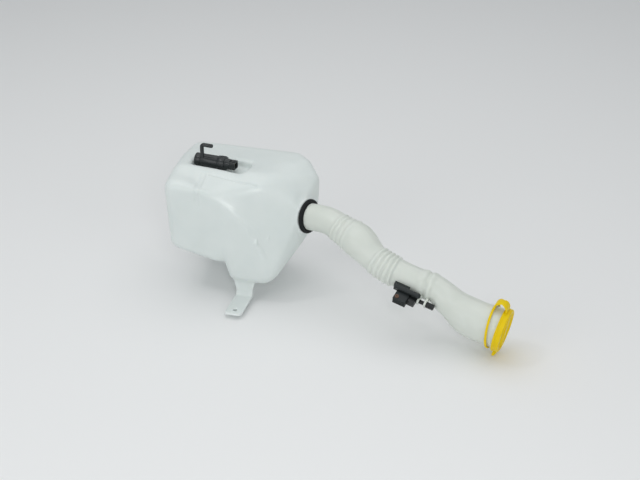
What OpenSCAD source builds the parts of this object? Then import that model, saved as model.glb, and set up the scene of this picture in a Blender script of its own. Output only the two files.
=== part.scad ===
// Washer fluid reservoir: a blow-moulded tank with a bellows filler neck pushed into a rubber grommet,
// a tethered snap cap, a motor pump lying in a trough of the tank and a connector clipped to the neck.
// Millimetres. The origin is the centre of the foot hole on the underside of the foot, +Z is up.

/* [Tank] */
// Height of the tank's top above the underside of the foot
tank_top = 198; // [190:1:215]
// Left end of the tank, counted from the foot hole
tank_left = -126; // [-135:1:-120]
// Front face of the tank, counted from the foot hole
tank_front = 40; // [34:1:50]
// Length of the tank's top from its left end to its right end
tank_len = 212; // [204:1:225]
// Depth of the tank from front to back
tank_depth = 149; // [140:1:165]
// Height of the front face at the left end
left_h = 127; // [118:1:132]
// Height of the front face at its lowest corner
front_h = 142; // [136:1:148]
// Height of the back
back_h = 164; // [152:1:168]
// Distance from the front face at which the flat top starts to fall
slope_y = 50; // [44:1:56]
// Fall of that slope at the front face
slope_drop = 8; // [4:1:14]
// Distance of the slanted right face from the left end, at the top of the front face
ridge_x = 112; // [100:1:120]
// Radius of the rounded edges
edge_r = 15; // [11:0.5:17]
// Wall of the tank
tank_wall = 2.5; // [1.8:0.1:3.5]

/* [Foot] */
// Height of the lobe's bottom above the underside of the foot
lobe_rise = 27; // [22:1:34]
// Width of the lobe that carries the foot
lobe_w = 80; // [74:1:86]
// Thickness of the pinched strap and foot plate
foot_t = 4.5; // [3:0.5:6]
// Width of the foot plate
foot_w = 27; // [22:1:34]
// Distance of the strap behind the tank's front face
strap_inset = 6; // [4:0.5:9]
// Distance of the hole from the foot's front end
hole_inset = 13; // [10:0.5:18]
// Diameter of the foot hole
hole_d = 6.6; // [5.5:0.1:9]

/* [Filler neck] */
// Distance of the neck's seat beyond the end of the tank's top
seat_out = 3; // [0:0.5:8]
// Place of the neck's seat from the front face
seat_y = 60; // [55:1:66]
// Depth of the neck's seat below the top
seat_z = 68; // [63:1:73]
// Outer radius of the neck where it enters the tank
neck_r = 21; // [19.5:0.5:22.5]
// Outer radius of the neck at its mouth
mouth_r = 30; // [28:0.5:32]
// Wall of the neck
neck_wall = 2; // [1.5:0.1:3]
// Length of neck pushed into the tank
spigot_len = 16; // [12:1:20]
// Height of the bellows ribs
rib_h = 2; // [1:0.1:3]
// Height of the shallow ribs next to the tank
shallow_rib_h = 1.4; // [0.5:0.1:2]
// Width of the grommet's outer flange, beyond the neck
flange_w = 7; // [6:0.5:9]
// Thickness of the grommet's outer flange
flange_t = 4.5; // [3:0.5:6]

/* [Cap] */
// Depth of the lid's skirt
skirt_h = 5.5; // [4.5:0.5:7]
// Wall of the lid and its skirt
lid_wall = 2.2; // [1.6:0.1:2.8]
// Width of the hinge strap
strap_w = 16; // [10:1:20]
// Length of the pull tab below the lid's edge
pull_len = 13; // [8:0.5:16]
// Distance of the tether ring behind the mouth
ring_back = 16; // [15.5:0.5:19]

/* [Pump] */
// Left end of the pump from the tank's left end
pump_x = 30; // [26:1:34]
// Pump axis from the front face
pump_y = 75; // [72:1:80]
// Turn of the pump and its trough about the inlet, seen from above
pump_yaw = -6; // [-10:1:0]
// Pump axis above the tank's top
pump_lift = 0; // [-2:0.5:3]
// Outer radius of the pump's barrel
barrel_r = 10.25; // [9.75:0.25:11]
// Wall of the barrel
barrel_wall = 1.3; // [1.1:0.1:1.6]
// Length of the barrel behind the base cover
barrel_len = 32; // [31:1:36]
// Length of the base cover with the inlet chamber
base_len = 9.5; // [9:0.5:11]
// Outer radius of the outlet pipe
outlet_r = 3.1; // [2.6:0.1:3.4]
// Height of the outlet bend above the pump axis
outlet_rise = 29; // [24:1:34]
// Length of the outlet nipple
outlet_len = 13; // [9:1:18]
// Room in the trough beyond the pump's plug
plug_room = 22; // [14:1:30]

/* [Connector] */
// Station of the neck at which the connector's holder sits
clip_station = 8.15; // [8.05:0.05:8.3]
// Length of the connector housing
conn_len = 20; // [17:0.5:24]
// Diameter of the retaining pin
pin_d = 6; // [5:0.25:7]

/* [Hidden] */
$fn = 48;

// Clearances
push_gap = 0.1;
lid_gap = 0.8;
run_gap = 0.05;
spin_gap = 0.5;

// Tank: places are counted from the left end, from the front face and down from the top
function at(x, y, z) = [tank_left + x, tank_front + y, tank_top - z];
ball_fn = 24;
lobe_left = ridge_x - 13;
lobe_bottom = tank_top - lobe_rise;
ridge_r = 6;
strap_flare = 6;
foot_cut = 5;

// Seat of the neck: its axis leans to the front and a little up
seat_yaw = -18;
seat_pitch = 6;
seat_at = at(tank_len + seat_out, seat_y, seat_z);
seat_axis = [cos(seat_pitch) * cos(seat_yaw), cos(seat_pitch) * sin(seat_yaw), sin(seat_pitch)];
seat_side = [-sin(seat_yaw), cos(seat_yaw), 0];
seat_up = cross(seat_axis, seat_side);
seat_boss_r = neck_r + flange_w + 1;
seat_proud = 1.5;
seat_hole_r = neck_r + 3.5;
seat_flat_r = seat_hole_r + 2;
seat_edge_r = 6;

// Neck: stations of its middle line from the seat, with the radius at each
mouth_yaw = -10;
mouth_pitch = 9.5;
mouth_axis = [cos(mouth_pitch) * cos(mouth_yaw), cos(mouth_pitch) * sin(mouth_yaw), -sin(mouth_pitch)];
mouth_end = [324.6, -102.5, -89.5];
mouth_len = 50;
neck_stations = concat(
    [[-spigot_len * seat_axis, neck_r], [0 * seat_axis, neck_r], [22 * seat_axis, neck_r]],
    [[[42, -16, 4], neck_r], [[64, -26, -2], neck_r + 1], [[92, -39, -10], neck_r + 5.5],
     [[121, -56, -26], neck_r + 0.5], [[147, -66, -35], neck_r + 1.2], [[172, -71, -41], neck_r - 0.5],
     [[202, -77, -47], neck_r - 0.5], [[223, -81, -51], neck_r - 0.5], [[243, -88, -63], neck_r + 2]],
    [[mouth_end - mouth_len * mouth_axis, mouth_r - 0.8],
     [mouth_end - 0.25 * mouth_len * mouth_axis, mouth_r],
     [mouth_end, mouth_r]]);
// Bellows zones as first station, last station, number of ribs and their height
bellows = [[3.58, 4.68, 4, shallow_rib_h], [6.08, 7.45, 5, rib_h], [8.67, 9.8, 2, rib_h]];
neck_sides = 24;
last_station = len(neck_stations) - 1;

// Smooth curve through the stations
function knot(i) = neck_stations[max(0, min(last_station, i))][0];
function curve(u) = let (i = min(floor(u), last_station - 1), t = u - i)
    0.5 * (2 * knot(i) + (knot(i + 1) - knot(i - 1)) * t
        + (2 * knot(i - 1) - 5 * knot(i) + 4 * knot(i + 1) - knot(i + 2)) * t * t
        + (3 * knot(i) - knot(i - 1) - 3 * knot(i + 1) + knot(i + 2)) * t * t * t);
function heading(u) = let (d = curve(min(u + 0.02, last_station)) - curve(max(u - 0.02, 0))) d / norm(d);
function smooth(t) = t * t * (3 - 2 * t);
function base_radius(u) = let (i = min(floor(u), last_station - 1))
    neck_stations[i][1] + (neck_stations[i + 1][1] - neck_stations[i][1]) * smooth(u - i);
function ripple(u) = [for (b = bellows) if (u > b[0] && u < b[1])
    b[3] * (1 - cos(360 * b[2] * (u - b[0]) / (b[1] - b[0]))) / 2];
function rib_radius(u) = let (r = ripple(u)) base_radius(u) + (len(r) > 0 ? r[0] : 0);
function in_bellows(u) = len([for (b = bellows) if (u > b[0] - 0.01 && u < b[1] + 0.01) 1]) > 0;
rib_steps = 6;
skin_steps = concat(
    [for (u = [0 : 0.34 : last_station]) if (!in_bellows(u)) u],
    [for (b = bellows) for (k = [0 : rib_steps * b[2]]) b[0] + (b[1] - b[0]) * k / (rib_steps * b[2])],
    [last_station]);
function sorted(v) = len(v) < 2 ? v : let (p = v[floor(len(v) / 2)]) concat(
    sorted([for (x = v) if (x < p) x]), [p], sorted([for (x = v) if (x > p) x]));
outer_steps = sorted(skin_steps);
inner_steps = [for (k = [0 : 34]) last_station * k / 34];
function ring_points(u, r) =
    let (h = heading(u), s = cross([0, 0, 1], h), side = s / norm(s), up = cross(h, side))
    [for (k = [0 : neck_sides - 1]) curve(u) + r * (cos(360 * k / neck_sides) * side
        + sin(360 * k / neck_sides) * up)];

// Cap, in the mouth's frame: x along the mouth's axis from its rim, z to the hinge
lid_inner_r = mouth_r + lid_gap;
lid_r = lid_inner_r + lid_wall;
rim_gap = 0.3;
arch_r = 10.5;
arch_x = -skirt_h - 5;
arch_z = lid_r + 3;
hinge_gap = 0.4;
strap_t = 2.4;
ring_r = mouth_r + 1.3;
ring_t = 2.2;
ring_w = 3.4;
ring_tilt = 8;
lid_face = rim_gap + lid_wall;
lid_crown = 2.5;
lip_h = 2.5;
lip_out = 1.4;
grip_w = 10;
tab_w = 13;
tab_t = 3.5;
tab_x = -3.5;

// Pump, in its own frame: x along the axis from the base cover's outer face
cover_wall = 1.5;
lip_t = 1.2;
collar_len = 9;
collar_r = barrel_r + 1;
collar_lap = 3;
cone_len = 8;
plug_len = 9.5;
barrel_end = base_len + barrel_len;
collar_end = barrel_end + collar_len;
cone_end = collar_end + cone_len;
pump_len = cone_end + plug_len;
bore_r = barrel_r - barrel_wall;
chamber_len = 6.5;
chamber_end = base_len + chamber_len;
seal_len = 2;
seal_r = 3;
bearing_r = 2.6;
bearing_len = 3;
motor_start = chamber_end + seal_len + bearing_len;
inlet_x = base_len / 2;
inlet_r = 4.2;
inlet_bore_r = inlet_r - 1.2;
outlet_x = base_len + chamber_len / 2;
outlet_y = outlet_r - bore_r;
outlet_bore_r = outlet_r - 1.2;
bend_r = 4.5;
lead_in = 0.8;
shaft_r = 1;
shaft_start = base_len + 2;
rear_bearing_x = barrel_end + 1;
shaft_end = rear_bearing_x + bearing_len + 0.4;
can_r = bore_r - push_gap;
can_t = 0.8;
can_start = motor_start + 0.5;
can_end = barrel_end - 5;
magnet_t = 1.8;
armature_r = can_r - can_t - magnet_t - spin_gap;
armature_start = can_start + 3;
armature_len = can_end - can_start - 7;
commutator_start = armature_start + armature_len + 1;
commutator_r = 2.4;
brush_plate_t = 2.5;
brush_plate_x = can_end + push_gap;
commutator_end = brush_plate_x + brush_plate_t + 0.5;
impeller_r = bore_r - 0.8;
blade_w = 2.8;
blade_t = 0.8;
blade_y = 4.2;
socket_w = 13;
socket_h = 11.5;
socket_wall = 1.4;

// Trough for the pump, with a flat floor that holds the inlet's grommet
floor_gap = 3;
trough_r = 8;
trough_floor = barrel_r + floor_gap - pump_lift;
trough_half = collar_r + 8;
trough_start = pump_x - 4;
trough_end = pump_x + pump_len + plug_room;
inlet_hole_r = inlet_r + 2.6;
inlet_flange_r = inlet_r + 4.4;
inlet_flange_t = floor_gap - 0.4;
inlet_tail = 4;
strainer_len = 9;
strainer_wall = 1.2;
spigot_drop = barrel_r + floor_gap + tank_wall + inlet_tail + 4;

// Connector, in a frame on the neck's middle line: x along the neck, -y away from it, z up
clip_roll = 18;
clip_r = base_radius(clip_station);
saddle_gap = 0.5;
saddle_x = -11.5;
holder_len = 24;
holder_t = 5;
holder_w = 14;
holder_out = clip_r + holder_t;
housing_out = holder_out + push_gap;
housing_x = -3;
housing_h = 20.5;
housing_w = 12;
housing_top = 2.5;
housing_wall = 1.5;
port_x = 4.5;
port_r = 3.2;
bar_d = 7.5;
bar_out = holder_out + bar_d / 2 - 1;
bar_z = housing_top + push_gap + bar_d / 2;
bar_end = 29;
knob_r = bar_d / 2 + 0.5;
cover_len = 11;
cover_h = 14;
cover_w = 10;
cover_x = housing_x + conn_len + push_gap;
cover_end = cover_x + cover_len;
pin_r = pin_d / 2;
pin_out = holder_out + pin_r;
pin_z = housing_top - housing_w / 2 - 1;
eye_t = 3;
eye_r = pin_r + 2.3;
eye_x = [cover_end + 1.5, cover_end + 12.5];
pin_start = cover_x + 2;
pin_end = eye_x[1] + eye_t + 0.3;
head_len = 12;
head_r = pin_r + 1.3;

module about_x() {
    rotate([0, 90, 0])
        children();
}

// Round-edged solid round a list of balls, each a centre and a radius, grown on all sides
module blown(balls, grow) {
    hull()
        for (b = balls)
            translate(b[0])
                sphere((b[1] + grow) / cos(180 / ball_fn), $fn = ball_fn);
}

function with_radius(points, r) = [for (p = points) [p, r]];

// Ball centres of the tank's main body and of the lobe below it, which share the top of the slanted ridge
ridge_mid = at(ridge_x - 23, ridge_r, slope_drop + ridge_r + 4.5);
ridge_top = at(ridge_x + 1, ridge_r, slope_drop + ridge_r + 22);
ridge_balls = with_radius([ridge_mid, ridge_top], ridge_r);
seat_balls = with_radius([for (a = [0 : 45 : 315])
    seat_at - seat_edge_r * seat_axis + seat_flat_r * (cos(a) * seat_side + sin(a) * seat_up)],
    seat_edge_r);
body_balls = concat(seat_balls, ridge_balls, with_radius([
    at(edge_r, slope_y, edge_r), at(edge_r - 4, tank_depth - 55, edge_r + 1),
    at(edge_r, tank_depth - edge_r, edge_r), at(tank_len - 2 * edge_r - 8, tank_depth - edge_r, edge_r),
    at(tank_len - edge_r - 8, tank_depth - edge_r - 12, edge_r + 2),
    at(tank_len - edge_r + 9, tank_depth - edge_r - 30, edge_r + 14),
    at(tank_len - edge_r, tank_depth - edge_r - 20, left_h - edge_r - 25),
    at(ridge_x + 34, slope_y - 16, edge_r),
    at(edge_r, edge_r, slope_drop + edge_r), at(ridge_x - 40, edge_r, slope_drop + edge_r),
    at(edge_r + 5, edge_r, left_h - edge_r), at(ridge_x - 28, edge_r, front_h - edge_r),
    at(edge_r + 5, tank_depth - edge_r, back_h - edge_r),
    at(tank_len - 3 * edge_r, tank_depth - edge_r, back_h - edge_r)], edge_r));
lobe_balls = concat([seat_balls[4], seat_balls[5], seat_balls[6], ridge_balls[1]], with_radius([
    at(lobe_left + edge_r, edge_r, lobe_bottom - edge_r),
    at(lobe_left + lobe_w - 8 - edge_r, edge_r, lobe_bottom - edge_r),
    at(lobe_left + lobe_w - edge_r, edge_r + 2, lobe_bottom - edge_r - 6),
    at(lobe_left + edge_r, edge_r, lobe_bottom - edge_r - 24),
    at(lobe_left, edge_r, front_h - edge_r - 27),
    at(lobe_left + edge_r, tank_depth / 2, lobe_bottom - edge_r - 6),
    at(lobe_left + lobe_w - edge_r, tank_depth / 2, lobe_bottom - edge_r - 20)], edge_r));

module seat_frame() {
    translate(seat_at)
        rotate([0, -seat_pitch, seat_yaw])
            children();
}

// Rectangle with round corners, about its middle
module rounded(w, h, r) {
    square([w - 2 * r, h], center = true);
    square([w, h - 2 * r], center = true);
    for (x = [-1, 1])
        for (y = [-1, 1])
            translate([x * (w / 2 - r), y * (h / 2 - r)])
                circle(r);
}

// Turns the pump and its trough about the upright axis of the inlet
module pump_turn() {
    inlet = at(pump_x + inlet_x, pump_y, 0);
    translate(inlet)
        rotate([0, 0, pump_yaw])
            translate(-inlet)
                children();
}

// Trough that holds the pump, open at the top, grown on all sides
module trough(grow) {
    length = trough_end - trough_start + 2 * grow;
    width = 2 * trough_half + 2 * grow;
    depth = trough_floor + grow;
    r = trough_r + grow;
    pump_turn()
        intersection() {
            translate(at(trough_start - grow, pump_y, 0))
                rotate([90, 0, 90])
                    linear_extrude(length)
                        rounded(width, 2 * depth, r);
            translate(at((trough_start + trough_end) / 2, pump_y, depth))
                linear_extrude(2 * depth)
                    rounded(length, width, r);
        }
}

module tank_outside() {
    difference() {
        union() {
            blown(body_balls, 0);
            blown(lobe_balls, 0);
        }
        trough(0);
    }
}

module tank_inside() {
    difference() {
        union() {
            blown(body_balls, -tank_wall);
            blown(lobe_balls, -tank_wall);
        }
        trough(tank_wall);
    }
}

// Strap and foot plate, pinched flat below the lobe
module foot() {
    strap_front = tank_front + strap_inset;
    strap_top = lobe_rise + edge_r / 2;
    half = foot_w / 2;
    translate([0, strap_front + foot_t, 0])
        rotate([90, 0, 0])
            linear_extrude(foot_t)
                polygon([[-half, 0], [half, 0], [half, lobe_rise / 2], [half + strap_flare, strap_top],
                         [-half - strap_flare, strap_top], [-half, lobe_rise / 2]]);
    linear_extrude(foot_t)
        polygon([[-half, strap_front], [half, strap_front], [half, foot_cut - hole_inset],
                 [half - foot_cut, -hole_inset], [foot_cut / 2 - half, -hole_inset],
                 [-half, foot_cut / 2 - hole_inset]]);
    translate([-half, 0, 0])
        rotate([90, 0, 90])
            linear_extrude(foot_w)
                polygon([[strap_front - foot_t, foot_t], [strap_front, foot_t], [strap_front, 2 * foot_t]]);
}

module tank() {
    color([0.84, 0.86, 0.84])
        difference() {
            union() {
                tank_outside();
                seat_frame()
                    bar_x(-tank_wall, seat_proud, seat_boss_r);
                foot();
            }
            tank_inside();
            seat_frame()
                bar_x(-4 * tank_wall, 4 * tank_wall, seat_hole_r);
            translate(at(pump_x + inlet_x, pump_y, trough_floor))
                cylinder(h = 4 * tank_wall, r = inlet_hole_r, center = true);
            cylinder(h = 4 * foot_t, d = hole_d, center = true);
        }
}

// Rubber ring in the tank's hole, gripping its wall on both sides
module neck_grommet() {
    bore = neck_r + push_gap;
    groove = seat_hole_r - push_gap;
    back = -tank_wall - push_gap;
    front = seat_proud + push_gap;
    color([0.1, 0.13, 0.14])
        seat_frame()
            about_x()
                rotate_extrude()
                    polygon([[bore, back - 6], [groove, back - 6], [groove + 1.6, back - 3],
                             [groove + 1.6, back],
                             [groove, back], [groove, front], [bore + flange_w, front],
                             [bore + flange_w, front + flange_t - 2],
                             [bore + flange_w - 2, front + flange_t],
                             [bore, front + flange_t]]);
}

// Blown tube swept along its stations, with an outer and an inner skin
module neck_tube() {
    rings = concat([for (u = outer_steps) ring_points(u, rib_radius(u))],
                   [for (u = inner_steps) ring_points(u, base_radius(u) - neck_wall)]);
    outer_n = len(outer_steps);
    inner_n = len(inner_steps);
    n = neck_sides;
    function cell(a, b, k) = let (j = (k + 1) % n)
        [[a * n + k, b * n + k, b * n + j], [a * n + k, b * n + j, a * n + j]];
    polyhedron(
        points = [for (r = rings) for (p = r) p],
        faces = concat(
            [for (i = [0 : outer_n - 2]) for (k = [0 : n - 1]) for (f = cell(i, i + 1, k)) f],
            [for (i = [outer_n : outer_n + inner_n - 2]) for (k = [0 : n - 1])
                for (f = cell(i + 1, i, k)) f],
            [for (k = [0 : n - 1]) for (f = cell(outer_n, 0, k)) f],
            [for (k = [0 : n - 1]) for (f = cell(outer_n - 1, outer_n + inner_n - 1, k)) f]));
}

module clip_frame() {
    h = heading(clip_station);
    translate(seat_at + curve(clip_station))
        rotate([0, -asin(h.z), atan2(h.y, h.x)])
            rotate([clip_roll, 0, 0])
                children();
}

module mouth_frame() {
    translate(seat_at + mouth_end)
        rotate([0, mouth_pitch, mouth_yaw])
            children();
}

module pump_frame() {
    pump_turn()
        translate(at(pump_x, pump_y, -pump_lift))
            children();
}

// Round bar along x between two places
module bar_x(from, to, r) {
    translate([from, 0, 0])
        about_x()
            cylinder(h = to - from, r = r);
}

// Ring along x between two places
module ring_x(from, to, outer, inner) {
    difference() {
        bar_x(from, to, outer);
        bar_x(from - 1, to + 1, inner);
    }
}

// Middle line of the retaining pin
module pin_line() {
    translate([0, -pin_out, pin_z])
        children();
}

// Moulded eyes that take the connector's retaining pin
module neck_eyes() {
    clip_frame()
        pin_line()
            for (x = eye_x)
                difference() {
                    union() {
                        translate([x, 0, -eye_r])
                            cube([eye_t, pin_out - clip_r + neck_wall, 2 * eye_r]);
                        bar_x(x, x + eye_t, eye_r);
                    }
                    bar_x(x - 1, x + eye_t + 1, pin_r + push_gap);
                }
}

module filler_neck() {
    color([0.86, 0.86, 0.82]) {
        translate(seat_at)
            neck_tube();
        neck_eyes();
    }
}

// Half of the arched hinge strap, on the ring's side (-1) or the lid's (1), with a leg down to its root
module strap_half(side, root_z) {
    translate([arch_x, strap_w / 2, arch_z])
        rotate([90, 0, 0])
            linear_extrude(strap_w) {
                intersection() {
                    difference() {
                        circle(arch_r);
                        circle(arch_r - strap_t);
                    }
                    translate([side > 0 ? hinge_gap / 2 : -hinge_gap / 2 - arch_r, 0])
                        square(arch_r);
                }
                translate([side > 0 ? arch_r - strap_t : -arch_r, root_z - arch_z])
                    square([strap_t, arch_z - root_z]);
            }
}

// Tether ring, slack on the neck, with its half of the hinge strap
module cap_ring() {
    color([0.9, 0.8, 0.14])
        mouth_frame() {
            translate([-ring_back, 0, 0])
                rotate([0, -ring_tilt, 0])
                    ring_x(-ring_w / 2, ring_w / 2, ring_r + ring_t, ring_r);
            strap_half(-1, (ring_r + ring_t / 3) * cos(ring_tilt));
        }
}

// Snap lid with a skirt over the mouth, a dished face with a grip bar, a pull tab and its half of the strap
module cap_lid() {
    top = lid_face + lid_crown;
    color([0.9, 0.8, 0.14])
        mouth_frame() {
            about_x()
                rotate_extrude()
                    polygon([[0, rim_gap], [lid_inner_r, rim_gap], [lid_inner_r, -skirt_h],
                             [lid_r + lip_out, -skirt_h], [lid_r + lip_out, lip_h - skirt_h],
                             [lid_r, lip_h + 1 - skirt_h], [lid_r, top - 1], [lid_r - 1, top],
                             [lid_r - 2 * lid_wall, top], [lid_r - 2 * lid_wall - 1, lid_face],
                             [0, lid_face]]);
            translate([lid_face - 1, -grip_w / 2, 3 * lid_wall - lid_r])
                cube([lid_crown + 1, grip_w, 2 * lid_r - 6 * lid_wall]);
            translate([0, tab_w / 2, -lid_r])
                rotate([90, 0, 0])
                    linear_extrude(tab_w)
                        polygon([[1 - skirt_h, 1], [top - 1, 1], [tab_x + tab_t / 2, -pull_len],
                                 [tab_x - tab_t / 2, -pull_len]]);
            strap_half(1, lid_r - 1);
        }
}

// Rubber bush in the trough's floor that seals the pump's inlet
module pump_inlet_grommet() {
    bore = inlet_r + push_gap;
    groove = inlet_hole_r - push_gap;
    under = -tank_wall - push_gap;
    color([0.1, 0.11, 0.12])
        translate(at(pump_x + inlet_x, pump_y, trough_floor))
            rotate_extrude()
                polygon([[bore, under - inlet_tail], [groove - 0.6, under - inlet_tail],
                         [groove + 1.6, under - 1.5], [groove + 1.6, under], [groove, under],
                         [groove, push_gap], [inlet_flange_r, push_gap],
                         [inlet_flange_r, inlet_flange_t - 0.6], [inlet_flange_r - 0.6, inlet_flange_t],
                         [bore, inlet_flange_t]]);
}

// Slotted cup on the inlet's end inside the tank
module pump_inlet_strainer() {
    under = -tank_wall - inlet_tail - 3 * push_gap;
    cup_r = inlet_r + push_gap + strainer_wall;
    color([0.75, 0.76, 0.72])
        translate(at(pump_x + inlet_x, pump_y, trough_floor))
            difference() {
                translate([0, 0, under - strainer_len])
                    cylinder(h = strainer_len, r = cup_r);
                translate([0, 0, under - strainer_len + strainer_wall])
                    cylinder(h = strainer_len, r = cup_r - strainer_wall);
                for (a = [0 : 60 : 120])
                    translate([0, 0, under - strainer_len + strainer_wall + 1.4])
                        rotate([0, 0, a])
                            cube([3 * cup_r, 1.6, 2.8], center = true);
            }
}

// Closed end of the pump with the inlet chamber, its spigot and the eye that feeds the impeller
module pump_base_cover() {
    color([0.14, 0.15, 0.16])
        pump_frame()
            difference() {
                union() {
                    bar_x(0, base_len, barrel_r);
                    bar_x(base_len, base_len + lip_t, bore_r - push_gap);
                    translate([inlet_x, 0, -spigot_drop])
                        cylinder(h = spigot_drop - barrel_r + 2, r = inlet_r);
                }
                bar_x(cover_wall, base_len - cover_wall, barrel_r - cover_wall);
                bar_x(base_len - 2 * cover_wall, base_len + lip_t + 1, inlet_bore_r);
                bar_x(base_len, base_len + lip_t + 1, bore_r - 2 * lip_t);
                translate([inlet_x, 0, -spigot_drop - 1])
                    cylinder(h = spigot_drop, r = inlet_bore_r);
            }
}

// Outlet pipe: a leg up from the volute, a bend and a nipple along the pump with a lead-in for the hose
module outlet_pipe(r, over) {
    translate([outlet_x, outlet_y, 0]) {
        cylinder(h = outlet_rise - bend_r, r = r);
        translate([bend_r, 0, outlet_rise - bend_r])
            rotate([90, 0, 0])
                rotate([0, 0, 90])
                    rotate_extrude(angle = 90)
                        translate([bend_r, 0])
                            circle(r);
        translate([bend_r, 0, outlet_rise])
            about_x() {
                cylinder(h = outlet_len + over, r = r);
                translate([0, 0, outlet_len])
                    cylinder(h = lead_in, r1 = r, r2 = r - lead_in / 2);
            }
    }
}

// Barrel with the impeller's chamber, a bulkhead and the motor's bore
module pump_housing() {
    color([0.14, 0.15, 0.16])
        pump_frame()
            difference() {
                union() {
                    bar_x(base_len, barrel_end, barrel_r);
                    outlet_pipe(outlet_r, 0);
                }
                outlet_pipe(outlet_bore_r, lead_in + 1);
                bar_x(base_len - 1, chamber_end, bore_r);
                bar_x(chamber_end - 1, chamber_end + seal_len, seal_r);
                bar_x(chamber_end + seal_len - 1, motor_start + 1, bearing_r);
                bar_x(motor_start, barrel_end + 1, bore_r);
            }
}

// Cap that closes the motor, with the rear bearing's seat and the two-way plug socket
module pump_end_cap() {
    color([0.12, 0.12, 0.13])
        pump_frame()
            difference() {
                union() {
                    bar_x(barrel_end - collar_lap, collar_end, collar_r);
                    translate([collar_end, 0, 0])
                        about_x()
                            cylinder(h = cone_len, r1 = collar_r - 2, r2 = collar_r - 3.5);
                    translate([cone_end - 2, -socket_w / 2, -socket_h / 2])
                        cube([plug_len + 2, socket_w, socket_h]);
                }
                bar_x(barrel_end - collar_lap - 1, barrel_end, barrel_r + push_gap);
                bar_x(barrel_end - 1, rear_bearing_x + bearing_len + 1, bearing_r);
                translate([cone_end, socket_wall - socket_w / 2, socket_wall - socket_h / 2])
                    cube([plug_len + 1, socket_w - 2 * socket_wall, socket_h - 2 * socket_wall]);
                for (y = [-blade_y, blade_y])
                    translate([barrel_end - 1, y - blade_t / 2 - push_gap, -blade_w / 2 - push_gap])
                        cube([collar_len + cone_len + 2, blade_t + 2 * push_gap, blade_w + 2 * push_gap]);
            }
}

module pump_impeller() {
    start = shaft_start - 0.2;
    color([0.85, 0.85, 0.8])
        pump_frame()
            difference() {
                union() {
                    bar_x(chamber_end - 2, chamber_end - 0.8, impeller_r);
                    bar_x(start, chamber_end - 0.8, shaft_r + 1.4);
                    for (a = [0 : 60 : 300])
                        rotate([a, 0, 0])
                            translate([start, 0, -0.5])
                                cube([chamber_end - 1 - start, impeller_r - 0.2, 1]);
                }
                bar_x(start + 1, chamber_end, shaft_r + 0.02);
            }
}

module pump_shaft() {
    color([0.7, 0.71, 0.73])
        pump_frame()
            bar_x(shaft_start + 1, shaft_end, shaft_r);
}

module pump_shaft_seal() {
    color([0.08, 0.08, 0.08])
        pump_frame()
            ring_x(chamber_end + 0.1, chamber_end + seal_len - 0.1, seal_r - 0.05, shaft_r + run_gap);
}

module pump_front_bearing() {
    color([0.72, 0.55, 0.3])
        pump_frame()
            ring_x(chamber_end + seal_len, motor_start, bearing_r - 0.02, shaft_r + run_gap);
}

module pump_rear_bearing() {
    color([0.72, 0.55, 0.3])
        pump_frame()
            ring_x(rear_bearing_x, rear_bearing_x + bearing_len, bearing_r - 0.02, shaft_r + run_gap);
}

// Three-pole core with its coils
module pump_armature() {
    color([0.6, 0.33, 0.16])
        pump_frame()
            difference() {
                union() {
                    bar_x(armature_start, armature_start + armature_len, armature_r);
                    bar_x(armature_start - 0.8, armature_start + armature_len + 0.8, armature_r - 1.6);
                }
                for (a = [0 : 120 : 240])
                    rotate([a, 0, 0])
                        translate([armature_start - 2, armature_r - 1.4, -0.6])
                            cube([armature_len + 4, 3, 1.2]);
                bar_x(armature_start - 2, armature_start + armature_len + 2, shaft_r + 0.02);
            }
}

module pump_commutator() {
    color([0.72, 0.45, 0.2])
        pump_frame()
            ring_x(commutator_start, commutator_end, commutator_r, shaft_r + 0.02);
}

module pump_motor_can() {
    color([0.6, 0.61, 0.63])
        pump_frame()
            ring_x(can_start, can_end, can_r, can_r - can_t);
}

// Two arc magnets that line the can
module pump_magnets() {
    outer = can_r - can_t - 0.02;
    color([0.25, 0.25, 0.27])
        pump_frame()
            intersection() {
                ring_x(armature_start - 1, armature_start + armature_len + 1, outer, outer - magnet_t);
                for (side = [-1, 1])
                    translate([armature_start - 2, -outer * 0.75, side > 0 ? 1.5 : -1.5 - 2 * outer])
                        cube([armature_len + 4, 1.5 * outer, 2 * outer]);
            }
}

// Insulating disc that carries the brushes
module pump_brush_plate() {
    color([0.55, 0.42, 0.28])
        pump_frame()
            difference() {
                ring_x(brush_plate_x, brush_plate_x + brush_plate_t, can_r, commutator_r + 1);
                for (side = [-1, 1])
                    translate([brush_plate_x + 0.4, side > 0 ? 0 : -6.5, -1.1])
                        cube([brush_plate_t, 6.5, 2.2]);
            }
}

module pump_brushes() {
    color([0.2, 0.2, 0.2])
        pump_frame()
            for (side = [-1, 1])
                translate([brush_plate_x + 0.45, side > 0 ? commutator_r + 0.1 : -6.4, -1.05])
                    cube([brush_plate_t - 0.6, 6.3 - commutator_r, 2.1]);
}

// Two blades from the brush plate to the plug socket
module pump_terminals() {
    color([0.78, 0.74, 0.6])
        pump_frame()
            for (y = [-blade_y, blade_y])
                translate([brush_plate_x + brush_plate_t + 0.05, y - blade_t / 2, -blade_w / 2])
                    cube([cone_end + plug_len - 3 - brush_plate_x - brush_plate_t, blade_t, blade_w]);
}

// Saddle on the neck with a bar along the top of the connector, ending in a knob
module connector_holder() {
    color([0.32, 0.33, 0.34])
        clip_frame() {
            difference() {
                translate([saddle_x, -holder_out, -holder_w / 2])
                    cube([holder_len, holder_t + 4, holder_w]);
                bar_x(saddle_x - 1, saddle_x + holder_len + 1, clip_r + saddle_gap);
            }
            translate([0, -bar_out, bar_z]) {
                bar_x(saddle_x + 4, bar_end, bar_d / 2);
                translate([bar_end, 0, 0])
                    sphere(knob_r);
            }
        }
}

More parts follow.
